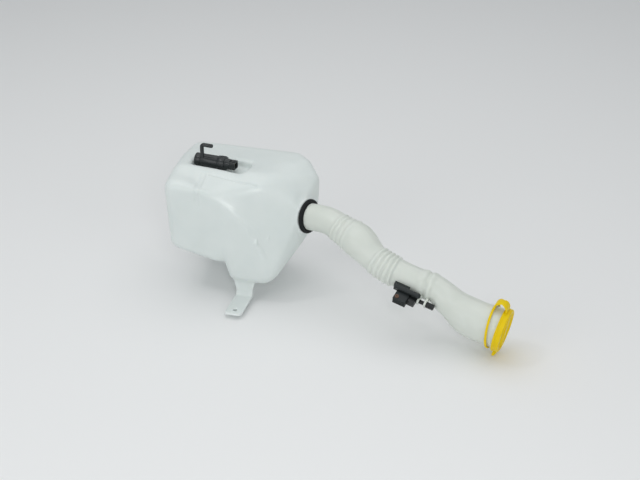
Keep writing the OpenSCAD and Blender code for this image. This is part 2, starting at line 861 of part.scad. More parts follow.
// Connector housing, open to the left, with a round port in its top
module connector_housing() {
    color([0.3, 0.31, 0.32])
        clip_frame()
            translate([housing_x, -housing_out - housing_h, housing_top - housing_w])
                difference() {
                    cube([conn_len, housing_h, housing_w]);
                    translate([-1, housing_wall, housing_wall])
                        cube([conn_len - 4, housing_h - 2 * housing_wall, housing_w - 2 * housing_wall]);
                    translate([port_x, port_x, housing_w / 2])
                        cylinder(h = housing_w, r = port_r);
                }
}

// Wire seal in the housing's port
module connector_seal() {
    color([0.42, 0.3, 0.22])
        clip_frame()
            translate([housing_x + port_x, port_x - housing_out - housing_h, housing_top - housing_wall])
                difference() {
                    cylinder(h = housing_wall + 0.8, r = port_r - push_gap);
                    translate([0, 0, -1])
                        cylinder(h = housing_wall + 3, r = port_r / 3);
                }
}

// Locking cover on the housing's end, bored for the retaining pin
module connector_cover() {
    color([0.11, 0.12, 0.12])
        clip_frame()
            difference() {
                translate([cover_x, -housing_out - cover_h, pin_z - cover_w / 2])
                    cube([cover_len, cover_h, cover_w]);
                pin_line()
                    bar_x(pin_start - push_gap, cover_end + 1, pin_r + push_gap);
            }
}

// Pin pushed through the neck's eyes into the cover
module retaining_pin() {
    color([0.1, 0.11, 0.11])
        clip_frame()
            pin_line() {
                bar_x(pin_start, pin_end, pin_r);
                bar_x(pin_end, pin_end + head_len, head_r);
            }
}

tank();
neck_grommet();
filler_neck();
cap_ring();
cap_lid();
pump_inlet_grommet();
pump_inlet_strainer();
pump_base_cover();
pump_housing();
pump_end_cap();
pump_impeller();
pump_shaft();
pump_shaft_seal();
pump_front_bearing();
pump_rear_bearing();
pump_armature();
pump_commutator();
pump_motor_can();
pump_magnets();
pump_brush_plate();
pump_brushes();
pump_terminals();
connector_holder();
connector_housing();
connector_seal();
connector_cover();
retaining_pin();
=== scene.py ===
import math

import bmesh
import bpy
import numpy as np
from mathutils import Matrix, Vector


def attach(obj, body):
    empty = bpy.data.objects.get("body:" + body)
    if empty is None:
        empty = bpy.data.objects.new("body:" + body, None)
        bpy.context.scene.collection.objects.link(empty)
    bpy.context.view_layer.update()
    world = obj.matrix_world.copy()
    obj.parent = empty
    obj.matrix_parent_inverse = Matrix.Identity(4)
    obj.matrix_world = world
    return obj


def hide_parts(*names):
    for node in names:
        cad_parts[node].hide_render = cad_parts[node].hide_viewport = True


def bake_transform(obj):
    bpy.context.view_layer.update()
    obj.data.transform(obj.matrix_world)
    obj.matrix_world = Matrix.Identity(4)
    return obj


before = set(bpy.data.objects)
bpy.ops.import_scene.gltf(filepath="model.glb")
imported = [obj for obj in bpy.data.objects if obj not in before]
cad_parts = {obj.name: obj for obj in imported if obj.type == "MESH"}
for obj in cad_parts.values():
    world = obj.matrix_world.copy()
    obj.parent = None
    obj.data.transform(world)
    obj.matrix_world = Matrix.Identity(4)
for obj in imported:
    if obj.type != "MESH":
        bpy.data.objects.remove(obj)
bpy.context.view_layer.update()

# Tank
# High-density polyethylene, blow-moulded in one piece with its lobe, pinched strap and foot.
# The frame's solid gives the form, and a skin relaxed over it gives the soft edges that the mould leaves.
# The front panel's arc, the shoulder behind it and the small marks of the mould are relief on that skin.
MM = 0.001
TANK_COLOUR, TANK_SHADE = "#E3E9E7", "#D6DEDC"
TANK_VOXEL = 1.45 * MM
TANK_ROUNDS, SETTLE_ROUNDS = 26, 6
TANK_SWELL = 1.0 * MM
SAME_SPOT = 0.001 * MM
FOOT_TOP, FOOT_FADE, FOOT_HELD = 34 * MM, 12 * MM, 0.06
SEAT_AT = Vector((89, 100, 130)) * MM
SEAT_TURN = Matrix.Rotation(math.radians(-18), 3, "Z") @ Matrix.Rotation(math.radians(-6), 3, "Y")
SEAT_BORE_R = 24.5 * MM
SEAT_KEPT, SEAT_DEEP, SEAT_FADE, SEAT_HELD = 34 * MM, 5 * MM, 8 * MM, 0.05
INLET_AT = Vector((-91.25, 115, 184)) * MM
INLET_BORE_R = 6.8 * MM
BORE_SLACK = 0.05 * MM
# The pairs are fades, from the place of none to the place of full, in mm.
ARC_X, ARC_Z, ARC_R = -139 * MM, -6 * MM, 195 * MM
ARC_STEP = 6.5 * MM
STEP_PAST_ARC, STEP_Y, STEP_Z = (0, 15), (92, 60), (100, 170)
PANEL_Y, PANEL_LIFT, PANEL_LEFT = 40 * MM, 6 * MM, -10 * MM
PANEL_PAST_ARC, PANEL_BACK, PANEL_Z = (3, -3), (50, 47), (66, 96)
SHOULDER_ROUNDS = 300
SHOULDER_PAST_ARC, SHOULDER_BACK = (11, 17), (-2, -16)
SHOULDER_X, SHOULDER_Z = (74, 50), (120, 160)
TROUGH_FRONT, TROUGH_WIDE, TROUGH_END = 92 * MM, 50 * MM, (6, 26)
TOP_FROM = 180 * MM
CREASE = ((-60.7, 75.8), (-39.3, 72.8), (-17, 69.2), (2.8, 67.5), (17.6, 68))
CREASE_DEPTH, CREASE_SIDE = 1.3 * MM, (2.8, 0)
FLUTE_X, FLUTE_DEPTH = -70 * MM, 1.2 * MM
FLUTE_SIDE, FLUTE_Y, FLUTE_Z = (5.5, 3), (82, 70), (148, 168)
# Each pip's x and z, half its height, and how far it stands out, in mm.
PIPS = ((23.2, 103, 9, 1.8), (40, 109, 7, 1.0))
PIP_HALF, PIP_BACK = 3 * MM, 70 * MM


def linear(code):
    """A hex colour as linear RGBA."""
    parts = [int(code[i:i + 2], 16) / 255 for i in (1, 3, 5)]
    return [c / 12.92 if c <= 0.04045 else ((c + 0.055) / 1.055) ** 2.4 for c in parts] + [1.0]


def add_node(tree, kind, settings=None, inputs=None):
    """One shader node. Each input takes a value or another node's output."""
    made = tree.nodes.new(kind)
    for name, value in (settings or {}).items():
        setattr(made, name, value)
    for name, value in (inputs or {}).items():
        if isinstance(value, bpy.types.NodeSocket):
            tree.links.new(value, made.inputs[name])
        else:
            made.inputs[name].default_value = value
    return made


def shaded(name, make_inputs):
    """A material of one surface shader, whose inputs a function makes in the material's own node tree."""
    made = bpy.data.materials.new(name)
    made.use_nodes = True
    tree = made.node_tree
    tree.nodes.clear()
    shader = add_node(tree, "ShaderNodeBsdfPrincipled", inputs=make_inputs(tree))
    add_node(tree, "ShaderNodeOutputMaterial", inputs={"Surface": shader.outputs["BSDF"]})
    return made


def mottled(name, colour, shade, rough, patch, grain, depth, spread=0.07, high=0.2, more=None):
    """A material with broad patches of tone and a fine grain in its gloss and its surface.

    Patch, grain and the grain's height are in mm. The grains are coarser than real ones, so that they show.
    """
    def inputs(tree):
        where = add_node(tree, "ShaderNodeTexCoord").outputs["Object"]
        broad = add_node(tree, "ShaderNodeTexNoise", inputs={
            "Vector": where, "Scale": 1 / (patch * MM), "Detail": 3.0})
        fine = add_node(tree, "ShaderNodeTexNoise", inputs={
            "Vector": where, "Scale": 1 / (grain * MM), "Detail": 2.0})
        # A mix node's colours go by number: 6 and 7 in, 2 out.
        tone = add_node(tree, "ShaderNodeMix", {"data_type": "RGBA"}, {
            "Factor": broad.outputs["Fac"], 6: linear(shade), 7: linear(colour)})
        gloss = add_node(tree, "ShaderNodeMapRange", inputs={
            "Value": fine.outputs["Fac"], "To Min": rough - spread, "To Max": rough + spread})
        skin = add_node(tree, "ShaderNodeBump", inputs={
            "Height": fine.outputs["Fac"], "Strength": depth, "Distance": high * MM})
        return {"Base Color": tone.outputs[2], "Roughness": gloss.outputs["Result"],
                "Normal": skin.outputs["Normal"], **(more or {})}
    return shaded(name, inputs)


def place(name, mesh, material, sharp_turn=38):
    """An object from a mesh, smooth but for the edges sharper than the turn."""
    made = bpy.data.objects.new(name, mesh)
    bpy.context.scene.collection.objects.link(made)
    mesh.materials.clear()
    mesh.materials.append(material)
    mesh.shade_smooth()
    mesh.set_sharp_from_angle(angle=math.radians(sharp_turn))
    return made


def relax(mesh, rounds, weight, pace=0.6):
    """Moves each vertex towards the middle of its neighbours, as far as its weight says."""
    spots = np.empty(len(mesh.vertices) * 3)
    mesh.vertices.foreach_get("co", spots)
    spots = spots.reshape(-1, 3)
    ends = np.empty(len(mesh.edges) * 2, dtype=np.int64)
    mesh.edges.foreach_get("vertices", ends)
    first, second = ends.reshape(-1, 2).T
    both, other = np.concatenate([first, second]), np.concatenate([second, first])
    count = np.maximum(np.bincount(both, minlength=len(spots)), 1)[:, None]
    share = pace * weight(spots)[:, None]
    for _ in range(rounds):
        total = np.stack([np.bincount(both, spots[other, k], len(spots)) for k in range(3)], 1)
        spots = spots + share * (total / count - spots)
    mesh.vertices.foreach_set("co", spots.ravel())
    mesh.update()


def swell(mesh, depth):
    """Moves each vertex out along its normal by its own depth."""
    spots, out = np.empty((2, len(mesh.vertices) * 3))
    mesh.vertices.foreach_get("co", spots)
    mesh.vertex_normals.foreach_get("vector", out)
    spots, out = spots.reshape(-1, 3), out.reshape(-1, 3)
    mesh.vertices.foreach_set("co", (spots + depth(spots)[:, None] * out).ravel())
    mesh.update()


def even_faces(mesh, voxel):
    """The mesh again as small even quads, with overlapping shells made one."""
    made = bpy.data.objects.new("rough", mesh)
    bpy.context.scene.collection.objects.link(made)
    change = made.modifiers.new("even", "REMESH")
    change.mode = "VOXEL"
    change.voxel_size = voxel
    fine = bpy.data.meshes.new_from_object(made.evaluated_get(bpy.context.evaluated_depsgraph_get()))
    bpy.data.objects.remove(made)
    return fine


def finished(work):
    """The mesh of a bmesh that is done."""
    mesh = bpy.data.meshes.new("piece")
    work.normal_update()
    work.to_mesh(mesh)
    work.free()
    return mesh


def outer_skin(source, bores):
    """The outside of a hollow solid, without its inside and its bores' walls, and with the holes closed."""
    work = bmesh.new()
    work.from_mesh(source.data)
    bmesh.ops.remove_doubles(work, verts=work.verts, dist=SAME_SPOT)
    for centre, axis, radius in bores:
        wall = []
        for face in work.faces:
            arms = [v.co - centre for v in face.verts]
            if all(abs((a - axis * a.dot(axis)).length - radius) < BORE_SLACK for a in arms):
                wall.append(face)
        bmesh.ops.delete(work, geom=wall, context="FACES")
    start = min(work.verts, key=lambda v: v.co.x)
    kept, edge = {start}, [start]
    while edge:
        here = edge.pop()
        for near in (e.other_vert(here) for e in here.link_edges):
            if near not in kept:
                kept.add(near)
                edge.append(near)
    bmesh.ops.delete(work, geom=[v for v in work.verts if v not in kept], context="VERTS")
    bmesh.ops.holes_fill(work, edges=[e for e in work.edges if e.is_boundary], sides=0)
    bmesh.ops.triangulate(work, faces=work.faces)
    return finished(work)


def tank_weight(spots):
    """Full on the body, small on the foot and the neck's seat."""
    body = np.clip((spots[:, 2] - FOOT_TOP + FOOT_FADE) / FOOT_FADE, FOOT_HELD, 1)
    arm = spots - np.array(SEAT_AT)
    along = arm @ np.array(seat_axis)
    off = np.linalg.norm(arm - along[:, None] * np.array(seat_axis), axis=1)
    seat = np.maximum(off - SEAT_KEPT, np.abs(along) - SEAT_DEEP) / SEAT_FADE
    return np.minimum(body, np.clip(seat, SEAT_HELD, 1))


def tank_swell(spots):
    """What the relaxing took off the body, but nothing on the foot and the neck's seat."""
    return TANK_SWELL * np.clip(tank_weight(spots) * 1.2 - 0.2, 0, 1)


def ease(share):
    """Zero to one with soft ends."""
    share = np.clip(share, 0, 1)
    return share * share * (3 - 2 * share)


def fade(value, none, full):
    """Zero at one place and one at another, both in mm, with soft ends."""
    return ease((value / MM - none) / (full - none))


def past_arc(spots):
    """How far each spot lies beyond the arc that bounds the front panel on its upper right."""
    return np.hypot(spots[:, 0] - ARC_X, spots[:, 2] - ARC_Z) - ARC_R


def front_relief(spots):
    """The flat front panel carried out to its arc, and a shallow step back beyond the arc."""
    x, y, z = spots.T
    beyond = past_arc(spots)
    step = fade(beyond, *STEP_PAST_ARC) ** 2 * fade(y, *STEP_Y) * fade(z, *STEP_Z)
    flat = fade(beyond, *PANEL_PAST_ARC) * fade(y, *PANEL_BACK) * fade(z, *PANEL_Z) * (x > PANEL_LEFT)
    return flat * np.clip(y - PANEL_Y, 0, PANEL_LIFT) - step * ARC_STEP


def shoulder_weight(spots):
    """Full on the shoulder between the arc and the trough, where the panel runs softly into the top."""
    x, y, z = spots.T
    back = TROUGH_FRONT + TROUGH_WIDE * fade(x, *TROUGH_END)
    near = fade(past_arc(spots), *SHOULDER_PAST_ARC) * fade(y - back, *SHOULDER_BACK)
    return near * fade(x, *SHOULDER_X) * fade(z, *SHOULDER_Z) * tank_weight(spots)


def crease(spots):
    """The shallow crease that the mould leaves on the top in front of the trough."""
    line = np.array(CREASE) * MM
    off = np.full(len(spots), np.inf)
    for start, end in zip(line[:-1], line[1:]):
        run = end - start
        share = np.clip((spots[:, :2] - start) @ run / (run @ run), 0, 1)
        off = np.minimum(off, np.linalg.norm(spots[:, :2] - start - share[:, None] * run, axis=1))
    return -CREASE_DEPTH * fade(off, *CREASE_SIDE) * (spots[:, 2] > TOP_FROM)


def flute(spots):
    """A shallow channel that runs over the front edge of the top."""
    x, y, z = spots.T
    return -FLUTE_DEPTH * fade(np.abs(x - FLUTE_X), *FLUTE_SIDE) * fade(y, *FLUTE_Y) * fade(z, *FLUTE_Z)


def pips(spots):
    """Two small upright pips at the foot of the arc."""
    x, y, z = spots.T
    out = np.zeros(len(spots))
    for at_x, at_z, half_tall, high in PIPS:
        off = np.hypot((x - at_x * MM) / PIP_HALF, (z - at_z * MM) / (half_tall * MM))
        out += high * MM * ease(1 - off)
    return out * (y < PIP_BACK)


# Blow-moulded polyethylene: milky, so light spreads inside it, with a cloudy tone and an orange-peel skin.
MILKY = {"IOR": 1.5, "Subsurface Weight": 0.45, "Subsurface Radius": (1.0, 0.97, 0.92),
         "Subsurface Scale": 8 * MM}
HDPE = {"rough": 0.31, "spread": 0.05, "patch": 45, "grain": 2.5, "depth": 0.10, "high": 0.3, "more": MILKY}
hdpe = mottled("natural_hdpe", TANK_COLOUR, TANK_SHADE, **HDPE)

seat_axis = SEAT_TURN @ Vector((1, 0, 0))
tank_bores = [(SEAT_AT, seat_axis, SEAT_BORE_R), (INLET_AT, Vector((0, 0, 1)), INLET_BORE_R)]
tank_mesh = even_faces(outer_skin(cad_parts["tank"], tank_bores), TANK_VOXEL)
relax(tank_mesh, TANK_ROUNDS, tank_weight)
swell(tank_mesh, tank_swell)
swell(tank_mesh, front_relief)
relax(tank_mesh, SHOULDER_ROUNDS, shoulder_weight)
relax(tank_mesh, SETTLE_ROUNDS, tank_weight)
for mark in (crease, flute, pips):
    swell(tank_mesh, mark)
tank = place("tank_skin", tank_mesh, hdpe)
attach(tank, "reservoir")
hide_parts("tank")

# Pump inlet
# A rubber bush buttoned into the trough's floor, and a slotted strainer cup on the pump's spigot.
# Both are hidden once the pump is in, so they keep the frame's own solids.


def finish_nodes(material, slot, *names):
    """Gives the frame's own solids a finish."""
    for name in names:
        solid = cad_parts[name]
        solid.data.materials.clear()
        solid.data.materials.append(material)


# Moulded EPDM rubber: near black and dull, with a slight bloom.
rubber = mottled("epdm_rubber", "#15191B", "#0C0F10", 0.62, 12, 0.9, 0.25, more={"Specular IOR Level": 0.3})
# Injection-moulded acetal: off-white and plain.
acetal = mottled("acetal", "#D9D8CF", "#C9C8BE", 0.42, 10, 1.2, 0.05)
finish_nodes(rubber, "grommet_rubber", "pump_inlet_grommet")
finish_nodes(acetal, "strainer_plastic", "pump_inlet_strainer")

# Pump motor
# The rotor on its steel shaft, the magnets in their can, and the brush gear, all closed in by the barrel.
# None of it shows, so it keeps the frame's own solids with a plain finish for each material.
METAL = {"Metallic": 1.0}
# Ground steel: bright, with a soft sheen.
steel = mottled("ground_steel", "#C4C6C8", "#B4B7BA", 0.28, 8, 0.8, 0.04, more=METAL)
# Sintered bronze: brown and slightly grainy.
bronze = mottled("sintered_bronze", "#9A6B3C", "#845A31", 0.5, 6, 0.7, 0.2, more=METAL)
# Stamped laminations: dull grey iron.
iron = mottled("lamination_iron", "#6C6E70", "#5A5C5E", 0.45, 6, 0.8, 0.15, more=METAL)
# Drawn brass: yellow and smooth.
brass = mottled("drawn_brass", "#C9A64B", "#B89440", 0.3, 8, 0.9, 0.05, more=METAL)
# Pressed ferrite: dark grey and matt.
ferrite = mottled("pressed_ferrite", "#3A3B3D", "#2E2F31", 0.7, 6, 0.8, 0.2)
# Phenolic moulding: brown and dry.
phenolic = mottled("phenolic_moulding", "#5B3A22", "#4B2E1A", 0.55, 8, 0.9, 0.1)
# Pressed carbon: black and sooty.
carbon = mottled("pressed_carbon", "#1E1E20", "#141415", 0.75, 5, 0.7, 0.25)
# Moulded nitrile: black and soft.
nitrile = mottled("nitrile_rubber", "#1A1B1D", "#121315", 0.6, 8, 0.9, 0.2)
finish_nodes(acetal, "impeller_plastic", "pump_impeller")
finish_nodes(steel, "shaft_steel", "pump_shaft", "pump_motor_can")
finish_nodes(nitrile, "grommet_rubber", "pump_shaft_seal")
finish_nodes(bronze, "bearing_bronze", "pump_front_bearing", "pump_rear_bearing")
finish_nodes(iron, "armature_iron", "pump_armature")
finish_nodes(brass, "contact_brass", "pump_commutator", "pump_terminals")
finish_nodes(ferrite, "magnet_ferrite", "pump_magnets")
finish_nodes(phenolic, "brush_plate_plastic", "pump_brush_plate")
finish_nodes(carbon, "brush_carbon", "pump_brushes")

# Pump base cover
# Glass-filled polyamide, moulded with the inlet spigot and welded to the barrel.
# It keeps the frame's solid with its edges broken, and gets the weld's bead.
PUMP_AT = Vector((-95.974, 115.497, 198)) * MM
PUMP_TURN = Matrix.Rotation(math.radians(-6), 3, "Z")
BARREL_R = 10.25
PUMP_EDGE = 0.35
WELD_X, WELD_R = 9.5, 0.55


def seated(at, turn, *spot):
    """A place given in mm in a turned frame."""
    return at + turn @ (Vector(spot) * MM)


def soft_edges(node, width, turn=35, flat=1):
    """A copy of a node's solid, with the edges sharper than the turn rounded off over a width in mm."""
    work = bmesh.new()
    work.from_mesh(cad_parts[node].data)
    bmesh.ops.remove_doubles(work, verts=work.verts, dist=2 * SAME_SPOT)
    bmesh.ops.dissolve_limit(work, angle_limit=math.radians(flat), verts=work.verts, edges=work.edges)
    sharp = [e for e in work.edges if len(e.link_faces) == 2 and e.calc_face_angle() > math.radians(turn)]
    bmesh.ops.bevel(work, geom=sharp, offset=width * MM, segments=2, profile=0.5, affect="EDGES",
                    clamp_overlap=True)
    return work


def bridge(work, rows):
    """Quads between each row of vertices and the next, where every row is a closed loop."""
    for here, there in zip(rows, rows[1:]):
        for k in range(len(here)):
            n = (k + 1) % len(here)
            work.faces.new((here[k], here[n], there[n], there[k]))


def turned(work, outline, at, turn, sides):
    """A closed outline of (x along, r out) in mm, turned about the x axis of a frame."""
    rows = []
    for i in range(sides):
        y, z = math.cos(2 * math.pi * i / sides), math.sin(2 * math.pi * i / sides)
        rows.append([work.verts.new(seated(at, turn, x, r * y, r * z)) for x, r in outline])
    bridge(work, rows + rows[:1])


def add_bead(work, at, turn, x, major, minor, sides=64, round_sides=10):
    """A round bead about the x axis of a frame, in mm."""
    angles = [2 * math.pi * k / round_sides for k in range(round_sides)]
    turned(work, [(x + minor * math.sin(a), major + minor * math.cos(a)) for a in angles], at, turn, sides)


# Moulded glass-filled polyamide: black with a grey sheen that breaks up on its grain.
polyamide = mottled("glass_filled_polyamide", "#292E2F", "#202526", 0.25, 15, 0.8, 0.12)
work = soft_edges("pump_base_cover", PUMP_EDGE)
add_bead(work, PUMP_AT, PUMP_TURN, WELD_X, BARREL_R, WELD_R)
base_cover = place("pump_base_cover_skin", finished(work), polyamide)
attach(base_cover, "reservoir")
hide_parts("pump_base_cover")

# Pump barrel
# The same plastic, moulded as a tube with the hook-shaped outlet, over the motor.
# It keeps the frame's solid with its edges broken.
barrel = place("pump_barrel_skin", finished(soft_edges("pump_housing", PUMP_EDGE)), polyamide)
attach(barrel, "reservoir")
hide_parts("pump_housing")

# Pump end cap
# The same plastic, with the socket for the plug, pressed on the barrel's end.
# It keeps the frame's solid with its edges broken, and gets grip ribs on its collar and a latch ramp.
COLLAR_R = 11.25
RIB_FROM, RIB_TO = 42, 49.5
RIB_COUNT, RIB_SIZE, RIB_ROUND = 20, 0.9, 0.2
SOCKET_TOP = 5.75
LATCH_FROM, LATCH_LEN, LATCH_W, LATCH_H = 61, 5, 4.5, 1.3
LATCH_SUNK, LATCH_ROUND = 0.5, 0.4


def add_block(work, at, turn, low, high, edge):
    """A box between two corners with round edges, in mm in a turned frame."""
    middle = [(start + end) / 2 * MM for start, end in zip(low, high)]
    size = [(end - start) * MM for start, end in zip(low, high)]
    made = bmesh.ops.create_cube(work, size=1.0)["verts"]
    for v in made:
        v.co = Vector([m + c * s for m, c, s in zip(middle, v.co, size)])
    edges = list({e for v in made for e in v.link_edges})
    rounded = bmesh.ops.bevel(work, geom=edges, offset=edge * MM, segments=3, profile=0.5, affect="EDGES")
    for v in {v for f in rounded["faces"] for v in f.verts}:
        v.co = at + turn @ v.co


work = soft_edges("pump_end_cap", PUMP_EDGE)
for i in range(RIB_COUNT):
    spin = PUMP_TURN @ Matrix.Rotation(2 * math.pi * i / RIB_COUNT, 3, "X")
    add_block(work, PUMP_AT, spin, (RIB_FROM, -RIB_SIZE / 2, COLLAR_R - RIB_SIZE / 2),
              (RIB_TO, RIB_SIZE / 2, COLLAR_R + RIB_SIZE / 2), RIB_ROUND)
add_block(work, PUMP_AT, PUMP_TURN, (LATCH_FROM, -LATCH_W / 2, SOCKET_TOP - LATCH_SUNK),
          (LATCH_FROM + LATCH_LEN, LATCH_W / 2, SOCKET_TOP + LATCH_H), LATCH_ROUND)
end_cap = place("pump_end_cap_skin", finished(work), polyamide)
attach(end_cap, "reservoir")
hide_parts("pump_end_cap")

# Neck grommet
# A ring of the same black rubber as the pump's bush, buttoned into the tank's wall.
# It is turned as one profile with a lip that grips the neck.
# Each corner along the seat's axis, out from it, and its round, in mm.
GROMMET = ((-8.6, 21.1, 0.4), (-8.6, 24.4, 0.6), (-5.6, 26, 0.8), (-2.6, 26, 0.4), (-2.6, 24.4, 0.3),
           (1.6, 24.4, 0.3), (1.6, 27, 0.5), (4.4, 27, 1.4), (6.1, 25.4, 0.9), (5.3, 23.6, 0.8),
           (6.9, 22.2, 0.5), (6.9, 21.1, 0.3))
GROMMET_SIDES = 96


def rounded_outline(points, steps=5):
    """A closed outline of (x, y, round) corners, each corner a smooth bend."""
    line = []
    for i, (x, y, r) in enumerate(points):
        here = Vector((x, y))
        before, after = Vector(points[i - 1][:2]), Vector(points[(i + 1) % len(points)][:2])
        if r == 0:
            line.append(here)
            continue
        a = here + (before - here).normalized() * min(r, (before - here).length / 2)
        b = here + (after - here).normalized() * min(r, (after - here).length / 2)
        for k in range(steps + 1):
            t = k / steps
            line.append((1 - t) ** 2 * a + 2 * t * (1 - t) * here + t * t * b)
    return line


work = bmesh.new()
turned(work, rounded_outline(GROMMET), SEAT_AT, SEAT_TURN, GROMMET_SIDES)
bmesh.ops.recalc_face_normals(work, faces=work.faces)
grommet = place("neck_grommet_skin", finished(work), rubber)
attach(grommet, "reservoir")
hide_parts("neck_grommet")

# Filler neck
# The same polyethylene as the tank, blown as one curved tube with three bellows zones and two moulded eyes.
# Its middle line and widths are the frame's own. The ribs are fuller and the wall is even, as blown.
NECK_COLOUR, NECK_SHADE = "#E3E9E0", "#D6DDD2"
MOUTH_TURN = Matrix.Rotation(math.radians(-10), 3, "Z") @ Matrix.Rotation(math.radians(9.5), 3, "Y")
MOUTH_FROM_SEAT = Vector((324.6, -102.5, -89.5))
# Stations of the tube in mm: along the seat's axis, free from the seat, and back from the mouth, with radii.
ROOT_STATIONS = ((-16, 21), (0, 21), (22, 21))
FREE_STATIONS = ((42, -16, 4, 21), (64, -26, -2, 22), (92, -39, -10, 26.5), (121, -56, -26, 21.5),
                 (147, -66, -35, 22.2), (172, -71, -41, 20.5), (202, -77, -47, 20.5), (223, -81, -51, 20.5),
                 (243, -88, -63, 23))
MOUTH_STATIONS = ((50, 29.2), (12.5, 30), (0, 30))
NECK_WALL, NECK_SIDES, NECK_STEP = 2.0, 96, 0.1
# Each bellows zone: its first and last station, its count of ribs and their height.
BELLOWS = ((3.58, 4.68, 4, 1.4), (6.08, 7.45, 5, 2.0), (8.67, 9.8, 2, 2.0))
RIB_STEPS, RIB_FULLNESS = 18, 0.8
SEAM_HEIGHT = 0.35
CLIP_STATION, CLIP_ROLL = 8.15, 18
EYE_R, EYE_T, EYE_BORE, EYE_ROOT = 5.3, 3.0, 3.1, 9
EYE_X, EYE_OUT, EYE_UP = (29.6, 40.6), 28.5, -4.5
EYE_STEPS, EYE_ROOT_STEPS = 24, 8

mouth_axis = MOUTH_TURN @ Vector((1, 0, 0))
stations = np.array([[*(seat_axis * along), r] for along, r in ROOT_STATIONS]
                    + [list(row) for row in FREE_STATIONS]
                    + [[*(MOUTH_FROM_SEAT - mouth_axis * back), r] for back, r in MOUTH_STATIONS])
last = len(stations) - 1


def middle_line(u):
    """Points of the smooth curve through the stations."""
    i = np.minimum(np.floor(u).astype(int), last - 1)
    t = (u - i)[:, None]
    a, b, c, d = (stations[np.clip(i + k, 0, last), :3] for k in (-1, 0, 1, 2))
    square, cube = 2 * a - 5 * b + 4 * c - d, 3 * b - a - 3 * c + d
    return 0.5 * (2 * b + (c - a) * t + square * t ** 2 + cube * t ** 3)


def heading(u, reach=0.02):
    """Unit directions of the curve."""
    step = middle_line(np.minimum(u + reach, last)) - middle_line(np.maximum(u - reach, 0))
    return step / np.linalg.norm(step, axis=1)[:, None]


def neck_radius(u):
    """The radius with its ribs."""
    i = np.minimum(np.floor(u).astype(int), last - 1)
    r = stations[i, 3] + (stations[i + 1, 3] - stations[i, 3]) * ease(u - i)
    for start, end, count, height in BELLOWS:
        wave = (1 - np.cos(2 * np.pi * count * np.clip((u - start) / (end - start), 0, 1))) / 2
        r = r + height * wave ** RIB_FULLNESS
    return r


along_neck = [np.arange(0, last, NECK_STEP), np.array([last])]
along_neck += [np.linspace(start, end, RIB_STEPS * count) for start, end, count, _ in BELLOWS]
u = np.unique(np.round(np.concatenate(along_neck), 4))
line, ahead = middle_line(u), heading(u)
side = np.cross([0, 0, 1], ahead)
side /= np.linalg.norm(side, axis=1)[:, None]
up = np.cross(ahead, side)
outer = neck_radius(u)
angle = (2 * np.pi * np.arange(NECK_SIDES) / NECK_SIDES)[:, None]
seam = np.zeros(NECK_SIDES)
seam[[NECK_SIDES // 4, 3 * NECK_SIDES // 4]] = SEAM_HEIGHT
work = bmesh.new()
rows = []
# A wall that turns over at both ends: outside rows, then inside rows back.
for k, wall in [(k, 0) for k in range(len(u))] + [(k, NECK_WALL) for k in reversed(range(len(u)))]:
    out = outer[k] - wall + seam * (wall == 0)
    ring = line[k] + out[:, None] * (np.cos(angle) * side[k] + np.sin(angle) * up[k])
    rows.append([work.verts.new(SEAT_AT + Vector(spot) * MM) for spot in ring])
bridge(work, rows + rows[:1])

clip_at = SEAT_AT + Vector(middle_line(np.array([CLIP_STATION]))[0]) * MM
clip_x, clip_y, clip_z = heading(np.array([CLIP_STATION]))[0]
clip_turn = (Matrix.Rotation(math.atan2(clip_y, clip_x), 3, "Z")
             @ Matrix.Rotation(-math.asin(clip_z), 3, "Y")
             @ Matrix.Rotation(math.radians(CLIP_ROLL), 3, "X"))
half_turn = [math.pi * k / EYE_STEPS for k in range(EYE_STEPS + 1)]
across_root = [EYE_R * (2 * k / EYE_ROOT_STEPS - 1) for k in range(EYE_ROOT_STEPS + 1)]
eye = np.array([(-EYE_R * math.sin(a), EYE_R * math.cos(a)) for a in half_turn]
               + [(EYE_ROOT, across) for across in across_root])
bore = eye / np.linalg.norm(eye, axis=1)[:, None] * EYE_BORE
for x in EYE_X:
    rows = [[work.verts.new(seated(clip_at, clip_turn, x + depth, y - EYE_OUT, z + EYE_UP)) for y, z in ring]
            for depth, ring in ((0, eye), (EYE_T, eye), (EYE_T, bore), (0, bore))]
    bridge(work, rows + rows[:1])
bmesh.ops.recalc_face_normals(work, faces=work.faces)

# Blow-moulded polyethylene of the neck: as the tank's, but a little warmer.
neck_hdpe = mottled("neck_hdpe", NECK_COLOUR, NECK_SHADE, **HDPE)
neck = place("filler_neck_skin", finished(work), neck_hdpe)
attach(neck, "reservoir")
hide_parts("filler_neck")

# Connector holder
# Dark grey polybutylene: a moulded saddle on the neck with a bar for the cable.
# It keeps the frame's solid with its edges broken.
HOLDER_EDGE = 0.6
# Moulded polybutylene: dark grey, with a satin face.
pbt_grey = mottled("grey_pbt", "#2A2F30", "#212627", 0.46, 9, 0.8, 0.15, more={"Specular IOR Level": 0.35})
holder = place("connector_holder_skin", finished(soft_edges("connector_holder", HOLDER_EDGE)), pbt_grey)
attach(holder, "reservoir")
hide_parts("connector_holder")

# Connector housing
# The same grey plastic: the plug's housing under the saddle, with a silicone seal in its socket.
# Both keep the frame's solids; the housing has its edges broken and gets keying ribs on its front.
HOUSING_EDGE = 0.5
HOUSING_FRONT = -46.1
KEY_RIBS, KEY_FROM, KEY_TO = (-8.0, -4.5, -1.0), -2, 16
KEY_HALF, KEY_OUT, KEY_SUNK, KEY_ROUND = 0.5, 0.7, 0.5, 0.25
work = soft_edges("connector_housing", HOUSING_EDGE)
for z in KEY_RIBS:
    add_block(work, clip_at, clip_turn, (KEY_FROM, HOUSING_FRONT - KEY_OUT, z - KEY_HALF),
              (KEY_TO, HOUSING_FRONT + KEY_SUNK, z + KEY_HALF), KEY_ROUND)
housing = place("connector_housing_skin", finished(work), pbt_grey)
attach(housing, "reservoir")
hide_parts("connector_housing")
